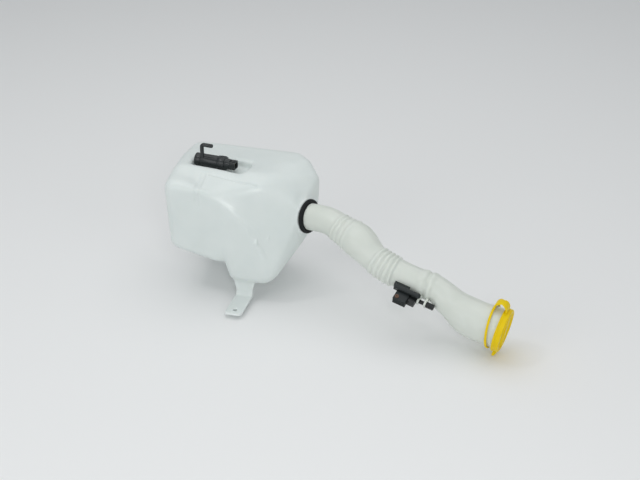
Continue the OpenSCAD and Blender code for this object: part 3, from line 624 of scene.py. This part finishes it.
# Moulded silicone: red-brown and soft.
silicone = mottled("brown_silicone", "#6E5140", "#5E4434", 0.55, 5, 0.8, 0.1)
finish_nodes(silicone, "seal_rubber", "connector_seal")

# Connector cover
# The same plastic in black: the cover that locks on the housing's end.
# It keeps the frame's solid with its edges broken.
COVER_EDGE = 0.8
# Moulded polybutylene in black: smoother than the grey, with a sharper sheen.
pbt_black = mottled("black_pbt", "#1B1F20", "#121516", 0.38, 9, 0.8, 0.15)
cover = place("connector_cover_skin", finished(soft_edges("connector_cover", COVER_EDGE)), pbt_black)
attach(cover, "reservoir")
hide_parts("connector_cover")

# Retaining pin
# The same black plastic: a pin pushed through the neck's eyes, which holds the saddle.
# It keeps the frame's solid with its edges broken, and gets grip rings on its head.
PIN_EDGE = 0.5
PIN_RINGS, PIN_RING_R, PIN_HEAD_R = (45.5, 48.5, 51.5, 54.5), 0.45, 4.3
PIN_SIDES, PIN_RING_SIDES = 40, 8
pin_at = seated(clip_at, clip_turn, 0, -EYE_OUT, EYE_UP)
work = soft_edges("retaining_pin", PIN_EDGE)
for x in PIN_RINGS:
    add_bead(work, pin_at, clip_turn, x, PIN_HEAD_R, PIN_RING_R, PIN_SIDES, PIN_RING_SIDES)
pin = place("retaining_pin_skin", finished(work), pbt_black)
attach(pin, "reservoir")
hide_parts("retaining_pin")

# Cap ring
# Yellow polypropylene: the tether ring that sits slack round the neck, behind the lid.
# It is turned, and tilts a little as it hangs.
MOUTH_AT = SEAT_AT + MOUTH_FROM_SEAT * MM
RING_BACK, RING_TILT = -16, -8
RING = ((-1.7, 31.3, 0.7), (1.7, 31.3, 0.7), (1.7, 33.5, 0.9), (-1.7, 33.5, 0.9))
CAP_SIDES = 128
# Moulded polypropylene: bright warm yellow, satin, with a little light carried inside.
polypropylene = mottled("yellow_polypropylene", "#EDD004", "#E4C402", 0.42, 25, 1.0, 0.06, more={
    "Specular IOR Level": 0.22, "Subsurface Weight": 0.2, "Subsurface Radius": (1.0, 0.7, 0.2),
    "Subsurface Scale": 3 * MM})
work = bmesh.new()
turned(work, rounded_outline(RING), seated(MOUTH_AT, MOUTH_TURN, RING_BACK, 0, 0),
       MOUTH_TURN @ Matrix.Rotation(math.radians(RING_TILT), 3, "Y"), CAP_SIDES)
bmesh.ops.recalc_face_normals(work, faces=work.faces)
ring = place("cap_ring_skin", finished(work), polypropylene)
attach(ring, "reservoir")
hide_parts("cap_ring")

# Cap lid
# The same polypropylene: a lid that snaps on the neck's mouth, with a grip bar on its face and a pull tab.
# It is turned, joined with the bar and the tab, and relaxed as the mould rounds it.
LID = ((0.3, 0, 0), (0.3, 30.8, 0.3), (-5.5, 30.8, 0.4), (-5.5, 34.4, 0.6), (-3, 34.4, 0.6), (-2, 33, 0.8),
       (5, 33, 1.6), (5, 28.6, 1.0), (2.5, 27.6, 1.4), (2.5, 0, 0))
GRIP_LOW, GRIP_HIGH, GRIP_ROUND = (1.0, -5, -26.4), (5.0, 5, 26.4), 1.4
TAB, TAB_W = ((-4.5, -32), (4, -32), (-1.75, -46), (-5.25, -46)), 13
LID_VOXEL = 0.6 * MM
LID_ROUNDS, LID_WEIGHT = 5, 0.8
work = bmesh.new()
turned(work, rounded_outline(LID), MOUTH_AT, MOUTH_TURN, CAP_SIDES)
bmesh.ops.remove_doubles(work, verts=work.verts, dist=SAME_SPOT)
add_block(work, MOUTH_AT, MOUTH_TURN, GRIP_LOW, GRIP_HIGH, GRIP_ROUND)
tab_ends = [[work.verts.new(seated(MOUTH_AT, MOUTH_TURN, x, y, z)) for x, z in TAB]
            for y in (-TAB_W / 2, TAB_W / 2)]
bridge(work, tab_ends)
for end in tab_ends:
    work.faces.new(end)
bmesh.ops.recalc_face_normals(work, faces=work.faces)
lid_mesh = even_faces(finished(work), LID_VOXEL)
relax(lid_mesh, LID_ROUNDS, lambda spots: np.full(len(spots), LID_WEIGHT))
lid = place("cap_lid_skin", lid_mesh, polypropylene)
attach(lid, "lid")
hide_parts("cap_lid")

# Cap strap
# The same polypropylene: the living hinge that arches from the ring to the lid, moulded with both.
# Its section is swept along the arch, narrow and thin at the top.
ARCH_X, ARCH_Z, ARCH_R, ARCH_STEPS = -10.5, 36, 9.3, 48
STRAP_FOOT, STRAP_FOOT_STEPS = 31.2, 5
STRAP_TIP, STRAP_TIP_STEPS = 35, 4
STRAP_W, STRAP_WAIST = 16, 13
STRAP_T, STRAP_THIN = 2.4, 1.5
STRAP_ROUND, STRAP_ROUND_STEPS = 0.6, 3
FOLD = 3.0
half_turn = [math.pi * k / ARCH_STEPS for k in range(ARCH_STEPS + 1)]
path = [Vector((ARCH_X - ARCH_R, STRAP_FOOT + k)) for k in range(STRAP_FOOT_STEPS)]
path += [Vector((ARCH_X - ARCH_R * math.cos(a), ARCH_Z + ARCH_R * math.sin(a))) for a in half_turn]
path += [Vector((ARCH_X + ARCH_R, STRAP_TIP - k)) for k in range(STRAP_TIP_STEPS)]
work = bmesh.new()
rows = []
for i, spot in enumerate(path):
    along = (path[min(i + 1, len(path) - 1)] - path[max(i - 1, 0)]).normalized()
    near = math.exp(-((spot.x - ARCH_X) / FOLD) ** 2)
    half_w = (STRAP_W + (STRAP_WAIST - STRAP_W) * near) / 2
    half_t = (STRAP_T + (STRAP_THIN - STRAP_T) * near) / 2
    corners = [(w * half_w, t * half_t, STRAP_ROUND) for w, t in ((-1, -1), (1, -1), (1, 1), (-1, 1))]
    rows.append([work.verts.new(seated(MOUTH_AT, MOUTH_TURN, spot.x - along.y * t, w, spot.y + along.x * t))
                 for w, t in rounded_outline(corners, STRAP_ROUND_STEPS)])
bridge(work, rows)
for end in (rows[0], rows[-1]):
    work.faces.new(end)
bmesh.ops.recalc_face_normals(work, faces=work.faces)
strap = place("cap_strap", finished(work), polypropylene)
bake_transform(strap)

# Studio
# A plain pale floor just below the lowest point, a wide soft light above, weaker ones in front and right.
# Two small lamps give the pump's barrel and the tank's arc their glints.
FLOOR_AT, FLOOR_HALF, FLOOR_COLOUR = (0.1, 0, -5.6 * MM), 4.0, "#EDEEEE"
ROOM_COLOUR, ROOM_LIGHT = "#F1F4F6", 0.49
# Each lamp's name, its place, what it points at, its width in metres and its power in watts.
LAMPS = (("key", (0.0, 0.35, 1.9), (0.05, 0.08, 0.1), 2.6, 12.3),
         ("glint", (-0.89, -0.48, 1.92), (-0.07, 0.115, 0.2), 0.3, 2.5),
         ("streak", (0.65, -1.38, 1.05), (-0.03, 0.05, 0.17), 0.4, 5),
         ("front", (-0.9, -1.7, 0.9), (0.1, 0.05, 0.1), 1.4, 6.2),
         ("right", (1.7, -0.9, 0.9), (0.1, 0.05, 0.1), 1.2, 2.5))
CAMERA_AT, CAMERA_DOWN, CAMERA_RIGHT = (0.554, -1.504, 1.013), 29, 15.5
LENS, SENSOR = 68.4, 36

# Matt painted board: an even pale ground.
board = shaded("painted_board", lambda tree: {"Base Color": linear(FLOOR_COLOUR), "Roughness": 0.9})
work = bmesh.new()
bmesh.ops.create_grid(work, x_segments=1, y_segments=1, size=FLOOR_HALF)
floor = place("floor", finished(work), board)
floor.location = FLOOR_AT

for name, spot, aim, size, power in LAMPS:
    lamp = bpy.data.lights.new(name, "AREA")
    lamp.shape = "DISK"
    lamp.size = size
    lamp.energy = power
    light = bpy.data.objects.new(name, lamp)
    light.location = spot
    light.rotation_euler = (Vector(aim) - Vector(spot)).to_track_quat("-Z", "Y").to_euler()
    bpy.context.scene.collection.objects.link(light)

world = bpy.data.worlds.new("soft_room")
world.use_nodes = True
world.node_tree.nodes["Background"].inputs["Color"].default_value = linear(ROOM_COLOUR)
world.node_tree.nodes["Background"].inputs["Strength"].default_value = ROOM_LIGHT
bpy.context.scene.world = world
bpy.context.scene.view_settings.view_transform = "Standard"

# The photo's view: from the front, turned to the right and looking down.
lens = bpy.data.cameras.new("photo_view")
lens.lens = LENS
lens.sensor_width = SENSOR
camera = bpy.data.objects.new("photo_view", lens)
camera.location = CAMERA_AT
camera.rotation_euler = (math.radians(90 - CAMERA_DOWN), 0, math.radians(CAMERA_RIGHT))
bpy.context.scene.collection.objects.link(camera)
bpy.context.scene.camera = camera
